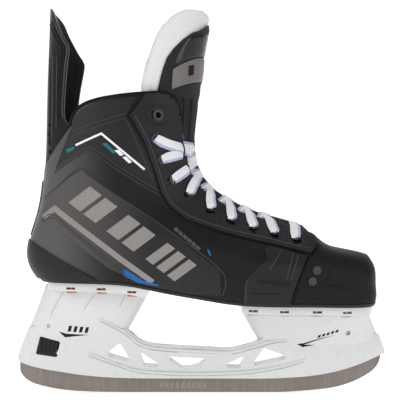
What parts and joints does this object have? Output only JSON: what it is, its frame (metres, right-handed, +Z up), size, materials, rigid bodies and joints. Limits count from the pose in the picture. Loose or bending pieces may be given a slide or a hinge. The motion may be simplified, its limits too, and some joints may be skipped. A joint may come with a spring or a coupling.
{
  "type": "ice hockey skate",
  "caption": "Laced hockey skate: hard boot with tongue and tendon guard on a plastic holder, with a steel runner that a trigger releases.",
  "frame": {"origin": "on the ice, at the middle of the runner's flat edge, under the middle of the skate", "axes": "+X to the toe, +Z up, +Y to the inner side of the boot"},
  "size_m": [0.2952, 0.1038, 0.3083],
  "materials": {
    "quarter": "dark ballistic weave, low sheen",
    "liner": "brushed knit",
    "pad": "foam under knit",
    "facing": "synthetic leather, matte",
    "wing": "moulded, satin",
    "eyelet": "black lacquer",
    "counter": "satin",
    "strip": "matte",
    "cap": "fine moulded grain",
    "boss": "satin",
    "lace": "flat woven polyester",
    "tongue_cover": "nylon",
    "felt": "pressed wool felt",
    "label": "satin",
    "guard": "satin",
    "outsole": "satin",
    "board": "pressed fibre",
    "insole": "knit on foam",
    "holder": "gloss",
    "copper": "copper",
    "steel": "plated",
    "runner": "ground",
    "trigger": "matte"
  },
  "bodies": {
    "boot": {"quarter_outer": "quarter", "quarter_inner": "quarter", "liner_outer": "liner", "liner_inner": "liner", "ankle_pad_outer": "pad", "ankle_pad_inner": "pad", "facing_outer": "facing", "facing_inner": "facing", "side_wing_outer": "wing", "side_wing_inner": "wing", "eyelets_outer": "eyelet", "eyelets_inner": "eyelet", "heel_counter": "counter", "heel_seam_strip": "strip", "toe_cap": "cap", "toe_cap_lining": "liner", "toe_cap_rivets": "boss", "lace": "lace", "tongue_cover_lower": "tongue_cover", "tongue_felt_lower": "felt", "outsole": "outsole", "lasting_board": "board", "insole": "insole", "holder": "holder", "heel_rivets": "copper", "toe_rivets": "steel", "trigger_pin": "steel", "hook_pin": "steel", "trigger_spring": "steel"},
    "runner": {"runner": "runner"},
    "trigger": {"trigger": "trigger"},
    "tendon_guard": {"tendon_guard": "guard", "tendon_guard_pad": "pad"},
    "tongue_upper": {"tongue_cover_upper": "tongue_cover", "tongue_felt_upper": "felt", "tongue_label": "label"}
  },
  "joints": [
    {"name": "runner_release", "type": "hinge", "parent": "boot", "child": "runner", "pos_m": [0.118, 0, 0.05], "axis": [0, -1, 0], "range_deg": [0, 0.84]},
    {"name": "trigger_pull", "type": "hinge", "parent": "boot", "child": "trigger", "pos_m": [-0.1215, 0, 0.055], "axis": [0, 1, 0], "range_deg": [0, 14], "stiffness_Nm_per_rad": 0.05, "springref_deg": -28.65},
    {"name": "guard_flex", "type": "hinge", "parent": "boot", "child": "tendon_guard", "pos_m": [-0.1262, 0, 0.177], "axis": [0, -1, 0], "range_deg": [0, 25], "stiffness_Nm_per_rad": 1.5, "springref_deg": -5.73},
    {"name": "tongue_flex", "type": "hinge", "parent": "boot", "child": "tongue_upper", "pos_m": [-0.0012, 0, 0.239], "axis": [0, 1, 0], "range_deg": [0, 30], "stiffness_Nm_per_rad": 0.4, "springref_deg": -8.59}
  ],
  "couplings": [
    {"joint": "trigger_pull", "follows": "runner_release", "ratio": 16.667}
  ]
}
